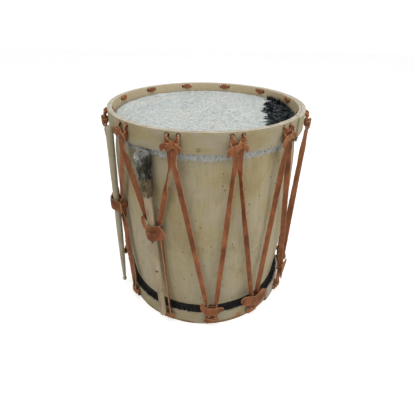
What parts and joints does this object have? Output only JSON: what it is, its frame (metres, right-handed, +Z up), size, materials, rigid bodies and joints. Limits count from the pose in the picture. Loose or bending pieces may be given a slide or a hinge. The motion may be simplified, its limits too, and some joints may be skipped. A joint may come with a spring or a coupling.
{
  "type": "bombo leguero drum",
  "caption": "Rope-tension folk drum cut from a hollow trunk, hides clamped by laced wooden hoops, with sliding leather tension loops that carry a stick and a fur-headed mallet.",
  "frame": {"origin": "middle of the bottom hoop's lower rim, on the surface that the drum stands on", "axes": "+Z up along the drum's axis, -Y towards the front as pictured, +X to the right seen from the front"},
  "size_m": [0.4766, 0.4735, 0.507],
  "materials": {
    "shell_wood": "weathered, matt, blotched",
    "hoop_wood": "worn, matt, long grain",
    "pale_hide": "raw hide, matt, hair left at the edge",
    "dark_hide": "raw hide with black hair",
    "lace_leather": "rawhide thong, satin",
    "slider_leather": "thick cut leather, satin",
    "pale_wood": "peeled, hand-polished",
    "mallet_fur": "short coarse fur",
    "mallet_binding": "ragged raw hide"
  },
  "bodies": {
    "root": {"shell": "shell_wood", "top_head": "pale_hide", "bottom_head": "dark_hide", "top_hoop": "hoop_wood", "bottom_hoop": "hoop_wood", "lace_01": "lace_leather", "lace_02": "lace_leather", "lace_03": "lace_leather", "lace_04": "lace_leather", "lace_05": "lace_leather", "lace_06": "lace_leather", "lace_07": "lace_leather", "lace_08": "lace_leather", "lace_09": "lace_leather", "lace_10": "lace_leather", "lace_11": "lace_leather", "lace_12": "lace_leather", "top_tie_01": "lace_leather", "top_tie_02": "lace_leather", "top_tie_03": "lace_leather", "top_tie_04": "lace_leather", "top_tie_05": "lace_leather", "top_tie_06": "lace_leather", "top_tie_07": "lace_leather", "top_tie_08": "lace_leather", "top_tie_09": "lace_leather", "top_tie_10": "lace_leather", "top_tie_11": "lace_leather", "top_tie_12": "lace_leather", "bottom_tie_01": "lace_leather", "bottom_tie_02": "lace_leather", "bottom_tie_03": "lace_leather", "bottom_tie_04": "lace_leather", "bottom_tie_05": "lace_leather", "bottom_tie_06": "lace_leather", "bottom_tie_07": "lace_leather", "bottom_tie_08": "lace_leather", "bottom_tie_09": "lace_leather", "bottom_tie_10": "lace_leather", "bottom_tie_11": "lace_leather", "bottom_tie_12": "lace_leather"},
    "slider_01": {"slider_01": "slider_leather"},
    "slider_02": {"slider_02": "slider_leather"},
    "slider_03": {"slider_03": "slider_leather"},
    "slider_04": {"slider_04": "slider_leather"},
    "slider_05": {"slider_05": "slider_leather"},
    "slider_06": {"slider_06": "slider_leather"},
    "slider_07": {"slider_07": "slider_leather"},
    "slider_08": {"slider_08": "slider_leather"},
    "slider_09": {"slider_09": "slider_leather"},
    "slider_10": {"slider_10": "slider_leather"},
    "slider_11": {"slider_11": "slider_leather"},
    "slider_12": {"slider_12": "slider_leather"},
    "drumstick": {"drumstick": "pale_wood"},
    "mallet": {"mallet_handle": "pale_wood", "mallet_head": "mallet_fur", "mallet_wrap": "mallet_binding"}
  },
  "joints": [
    {"name": "slider_01_slide", "type": "slide", "parent": "root", "child": "slider_01", "axis": [0, 0, 1], "range_m": [0, 0.21], "deforming": ["lace_01"]},
    {"name": "slider_02_slide", "type": "slide", "parent": "root", "child": "slider_02", "axis": [0, 0, 1], "range_m": [0, 0.21], "deforming": ["lace_02"]},
    {"name": "slider_03_slide", "type": "slide", "parent": "root", "child": "slider_03", "axis": [0, 0, 1], "range_m": [0, 0.21], "deforming": ["lace_03"]},
    {"name": "slider_04_slide", "type": "slide", "parent": "root", "child": "slider_04", "axis": [0, 0, 1], "range_m": [0, 0.21], "deforming": ["lace_04"]},
    {"name": "slider_05_slide", "type": "slide", "parent": "root", "child": "slider_05", "axis": [0, 0, 1], "range_m": [0, 0.21], "deforming": ["lace_05"]},
    {"name": "slider_06_slide", "type": "slide", "parent": "root", "child": "slider_06", "axis": [0, 0, 1], "range_m": [0, 0.21], "deforming": ["lace_06"]},
    {"name": "slider_07_slide", "type": "slide", "parent": "root", "child": "slider_07", "axis": [0, 0, 1], "range_m": [0, 0.21], "deforming": ["lace_07"]},
    {"name": "slider_08_slide", "type": "slide", "parent": "root", "child": "slider_08", "axis": [0, 0, 1], "range_m": [0, 0.21], "deforming": ["lace_08"]},
    {"name": "slider_09_slide", "type": "slide", "parent": "root", "child": "slider_09", "axis": [0, 0, 1], "range_m": [0, 0.21], "deforming": ["lace_09"]},
    {"name": "slider_10_slide", "type": "slide", "parent": "root", "child": "slider_10", "axis": [0, 0, 1], "range_m": [0, 0.21], "deforming": ["lace_10"]},
    {"name": "slider_11_slide", "type": "slide", "parent": "root", "child": "slider_11", "axis": [0.0736, -0.0748, 0.9945], "range_m": [-0.22, 0.04], "deforming": ["lace_11"]},
    {"name": "slider_12_slide", "type": "slide", "parent": "root", "child": "slider_12", "axis": [-0.0458, 0.0744, 0.9962], "range_m": [-0.2, 0.01], "deforming": ["lace_12"]},
    {"name": "drumstick_slide", "type": "slide", "parent": "root", "child": "drumstick", "axis": [0.0736, -0.0748, 0.9945], "range_m": [-0.02, 0.26]},
    {"name": "mallet_slide", "type": "slide", "parent": "root", "child": "mallet", "axis": [-0.0458, 0.0744, 0.9962], "range_m": [-0.006, 0.004]}
  ]
}
